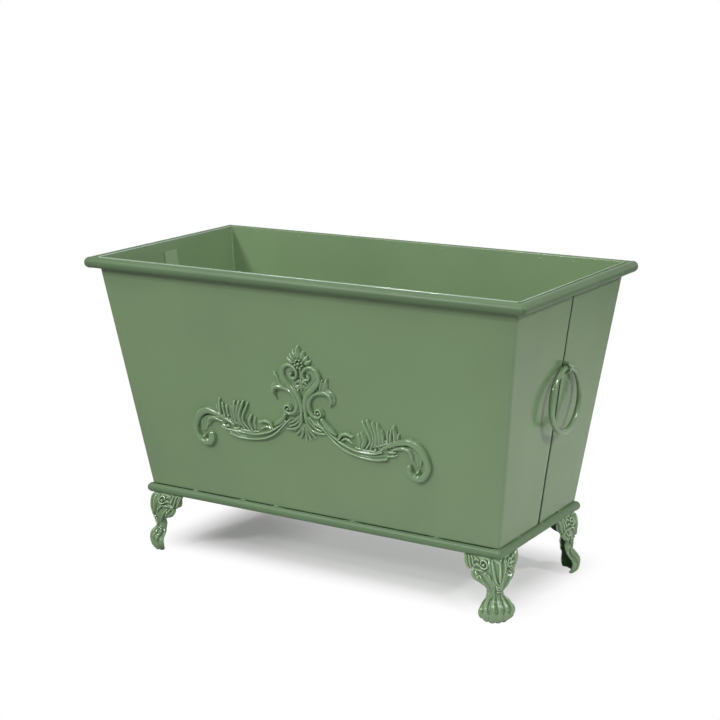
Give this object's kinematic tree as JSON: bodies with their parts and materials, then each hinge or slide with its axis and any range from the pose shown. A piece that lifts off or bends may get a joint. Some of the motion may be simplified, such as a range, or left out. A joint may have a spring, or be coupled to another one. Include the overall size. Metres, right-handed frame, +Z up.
{
  "type": "rectangular planter",
  "caption": "Tapered rectangular sheet-metal planter with tube rim, hanging ring handles, scroll ornament and hollow cast claw feet.",
  "frame": {"origin": "on the floor, under the middle of the tub", "axes": "+X along the length towards the right ring, +Y towards the plain back, so the ornament is at -Y, +Z up"},
  "size_m": [0.7304, 0.3656, 0.4622],
  "materials": {
    "sage_sheet": "satin sage-green paint on sheet steel",
    "sage_tube": "satin sage-green paint on steel tube and rod",
    "sage_casting": "satin sage-green paint on cast iron",
    "zinc_steel": "zinc-plated steel"
  },
  "bodies": {
    "tub": {"front_shell": "sage_sheet", "back_shell": "sage_sheet", "floor_pan": "sage_sheet", "seam_strap_left": "sage_sheet", "seam_strap_right": "sage_sheet", "eye_plate_left": "sage_sheet", "eye_plate_right": "sage_sheet", "rim_front": "sage_tube", "rim_back": "sage_tube", "rim_left": "sage_tube", "rim_right": "sage_tube", "base_rail_front": "sage_tube", "base_rail_back": "sage_tube", "base_rail_left": "sage_tube", "base_rail_right": "sage_tube", "ring_eye_left": "sage_tube", "ring_eye_right": "sage_tube", "foot_front_left": "sage_casting", "foot_front_right": "sage_casting", "foot_back_left": "sage_casting", "foot_back_right": "sage_casting", "crest_ornament": "sage_casting", "garland_left": "sage_casting", "garland_right": "sage_casting", "foot_bolts": "zinc_steel", "foot_washers": "zinc_steel", "foot_nuts": "zinc_steel"},
    "ring_handle_left": {"ring_left": "sage_tube"},
    "ring_handle_right": {"ring_right": "sage_tube"}
  },
  "joints": [
    {"name": "ring_swing_left", "type": "hinge", "parent": "tub", "child": "ring_handle_left", "pos_m": [-0.33797, 0, 0.33947], "axis": [0, 1, 0], "range_deg": [-7, 160]},
    {"name": "ring_swing_right", "type": "hinge", "parent": "tub", "child": "ring_handle_right", "pos_m": [0.33797, 0, 0.33947], "axis": [0, -1, 0], "range_deg": [-7, 160]}
  ]
}
